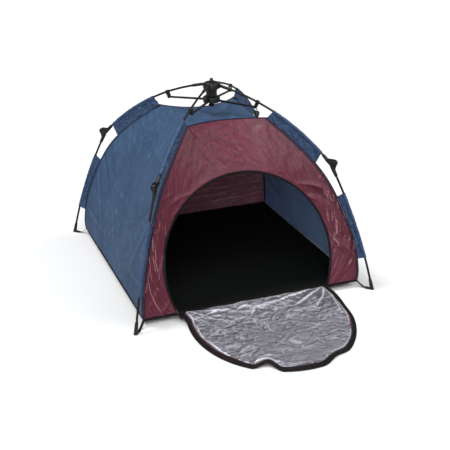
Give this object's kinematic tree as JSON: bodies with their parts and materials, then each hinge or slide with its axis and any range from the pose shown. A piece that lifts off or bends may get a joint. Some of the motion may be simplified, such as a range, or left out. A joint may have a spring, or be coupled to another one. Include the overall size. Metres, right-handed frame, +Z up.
{
  "type": "dog tent",
  "caption": "Small fabric dog tent with a round zipped doorway, its door flap open on the ground, on a folding umbrella frame of jointed poles.",
  "frame": {"origin": "on the ground under the hub, at the middle of the floor sheet's flat underside", "axes": "+Z up, -Y towards the doorway and its open flap, +X to the right of someone facing -Y's view of the door"},
  "size_m": [0.7854, 1.1496, 0.6216],
  "materials": {
    "black moulding": "moulded satin black",
    "black rod": "smooth glass-fibre rod",
    "blue fabric": "plain-weave coated polyester",
    "maroon fabric": "plain-weave coated polyester",
    "floor fabric": "dull coated floor sheet",
    "silver lining": "crinkled silver-coated lining",
    "black webbing": "woven tape and cord"
  },
  "bodies": {
    "tent": {"hub_crown": "black moulding", "hub_cap": "black moulding", "floor_sheet": "floor fabric", "wall_left": "blue fabric", "wall_right": "blue fabric", "roof_panel": "blue fabric", "front_panel": "maroon fabric", "back_panel": "maroon fabric", "door_zip_tape": "black webbing", "roof_tie": "black webbing"},
    "runner": {"runner": "black moulding", "runner_knob": "black moulding"},
    "front_left_upper": {"front_left_upper_pole": "black rod", "front_left_root_ferrule": "black moulding", "front_left_strut_clip": "black moulding", "front_left_elbow_upper": "black moulding", "front_left_upper_sleeve": "blue fabric"},
    "front_left_lower": {"front_left_elbow_lower": "black moulding", "front_left_lower_pole": "black rod", "front_left_foot": "black moulding", "front_left_lower_sleeve": "blue fabric", "front_left_corner_strap": "black webbing"},
    "front_left_strut": {"front_left_strut": "black moulding"},
    "front_right_upper": {"front_right_upper_pole": "black rod", "front_right_root_ferrule": "black moulding", "front_right_strut_clip": "black moulding", "front_right_elbow_upper": "black moulding", "front_right_upper_sleeve": "blue fabric"},
    "front_right_lower": {"front_right_elbow_lower": "black moulding", "front_right_lower_pole": "black rod", "front_right_foot": "black moulding", "front_right_lower_sleeve": "blue fabric", "front_right_corner_strap": "black webbing"},
    "front_right_strut": {"front_right_strut": "black moulding"},
    "back_left_upper": {"back_left_upper_pole": "black rod", "back_left_root_ferrule": "black moulding", "back_left_strut_clip": "black moulding", "back_left_elbow_upper": "black moulding", "back_left_upper_sleeve": "blue fabric"},
    "back_left_lower": {"back_left_elbow_lower": "black moulding", "back_left_lower_pole": "black rod", "back_left_foot": "black moulding", "back_left_lower_sleeve": "blue fabric", "back_left_corner_strap": "black webbing"},
    "back_left_strut": {"back_left_strut": "black moulding"},
    "back_right_upper": {"back_right_upper_pole": "black rod", "back_right_root_ferrule": "black moulding", "back_right_strut_clip": "black moulding", "back_right_elbow_upper": "black moulding", "back_right_upper_sleeve": "blue fabric"},
    "back_right_lower": {"back_right_elbow_lower": "black moulding", "back_right_lower_pole": "black rod", "back_right_foot": "black moulding", "back_right_lower_sleeve": "blue fabric", "back_right_corner_strap": "black webbing"},
    "back_right_strut": {"back_right_strut": "black moulding"},
    "door": {"door_flap": "silver lining", "flap_binding": "black webbing"},
    "zip": {"zip_slider": "black moulding", "zip_pull": "black moulding"}
  },
  "joints": [
    {"name": "front_left_fold", "type": "hinge", "parent": "tent", "child": "front_left_upper", "pos_m": [-0.01737, -0.01798, 0.6], "axis": [0.7193, -0.6947, 0], "range_deg": [0, 60], "deforming": ["wall_left", "wall_right", "roof_panel", "front_panel", "back_panel", "door_zip_tape", "roof_tie", "front_left_upper_sleeve", "front_left_lower_sleeve", "front_left_corner_strap", "front_right_upper_sleeve", "front_right_lower_sleeve", "front_right_corner_strap", "back_left_upper_sleeve", "back_left_lower_sleeve", "back_left_corner_strap", "back_right_upper_sleeve", "back_right_lower_sleeve", "back_right_corner_strap"]},
    {"name": "front_left_elbow", "type": "hinge", "parent": "front_left_upper", "child": "front_left_lower", "pos_m": [-0.28579, -0.29595, 0.39894], "axis": [-0.7193, 0.6947, 0], "range_deg": [0, 195]},
    {"name": "front_left_strut_swing", "type": "hinge", "parent": "front_left_upper", "child": "front_left_strut", "pos_m": [-0.10474, -0.10847, 0.54545], "axis": [-0.7193, 0.6947, 0], "range_deg": [0, 146]},
    {"name": "front_right_fold", "type": "hinge", "parent": "tent", "child": "front_right_upper", "pos_m": [0.01737, -0.01798, 0.6], "axis": [0.7193, 0.6947, 0], "range_deg": [0, 60]},
    {"name": "front_right_elbow", "type": "hinge", "parent": "front_right_upper", "child": "front_right_lower", "pos_m": [0.28579, -0.29595, 0.39894], "axis": [-0.7193, -0.6947, 0], "range_deg": [0, 195]},
    {"name": "front_right_strut_swing", "type": "hinge", "parent": "front_right_upper", "child": "front_right_strut", "pos_m": [0.10474, -0.10847, 0.54545], "axis": [-0.7193, -0.6947, 0], "range_deg": [0, 146]},
    {"name": "back_left_fold", "type": "hinge", "parent": "tent", "child": "back_left_upper", "pos_m": [-0.01737, 0.01798, 0.6], "axis": [-0.7193, -0.6947, 0], "range_deg": [0, 60]},
    {"name": "back_left_elbow", "type": "hinge", "parent": "back_left_upper", "child": "back_left_lower", "pos_m": [-0.28579, 0.29595, 0.39894], "axis": [0.7193, 0.6947, 0], "range_deg": [0, 195]},
    {"name": "back_left_strut_swing", "type": "hinge", "parent": "back_left_upper", "child": "back_left_strut", "pos_m": [-0.10474, 0.10847, 0.54545], "axis": [0.7193, 0.6947, 0], "range_deg": [0, 146]},
    {"name": "back_right_fold", "type": "hinge", "parent": "tent", "child": "back_right_upper", "pos_m": [0.01737, 0.01798, 0.6], "axis": [-0.7193, 0.6947, 0], "range_deg": [0, 60]},
    {"name": "back_right_elbow", "type": "hinge", "parent": "back_right_upper", "child": "back_right_lower", "pos_m": [0.28579, 0.29595, 0.39894], "axis": [0.7193, -0.6947, 0], "range_deg": [0, 195]},
    {"name": "back_right_strut_swing", "type": "hinge", "parent": "back_right_upper", "child": "back_right_strut", "pos_m": [0.10474, 0.10847, 0.54545], "axis": [0.7193, -0.6947, 0], "range_deg": [0, 146]},
    {"name": "runner_slide", "type": "slide", "parent": "tent", "child": "runner", "axis": [0, 0, -1], "range_m": [0, 0.21365]},
    {"name": "door_hinge", "type": "hinge", "parent": "tent", "child": "door", "pos_m": [0, -0.36163, 0.0195], "axis": [-1, 0, 0], "range_deg": [0, 112]},
    {"name": "zip_travel", "type": "hinge", "parent": "tent", "child": "zip", "pos_m": [0, -0.32339, 0.13056], "axis": [0, 0.9397, -0.342], "range_deg": [0, 214]}
  ],
  "couplings": [
    {"joint": "front_left_elbow", "follows": "front_left_fold", "ratio": 3.25},
    {"joint": "front_left_strut_swing", "follows": "front_left_fold", "ratio": 2.4326},
    {"joint": "front_right_fold", "follows": "front_left_fold", "ratio": 1},
    {"joint": "front_right_elbow", "follows": "front_left_fold", "ratio": 3.25},
    {"joint": "front_right_strut_swing", "follows": "front_left_fold", "ratio": 2.4326},
    {"joint": "back_left_fold", "follows": "front_left_fold", "ratio": 1},
    {"joint": "back_left_elbow", "follows": "front_left_fold", "ratio": 3.25},
    {"joint": "back_left_strut_swing", "follows": "front_left_fold", "ratio": 2.4326},
    {"joint": "back_right_fold", "follows": "front_left_fold", "ratio": 1},
    {"joint": "back_right_elbow", "follows": "front_left_fold", "ratio": 3.25},
    {"joint": "back_right_strut_swing", "follows": "front_left_fold", "ratio": 2.4326},
    {"joint": "runner_slide", "follows": "front_left_fold", "m_per_rad": 0.20383}
  ]
}
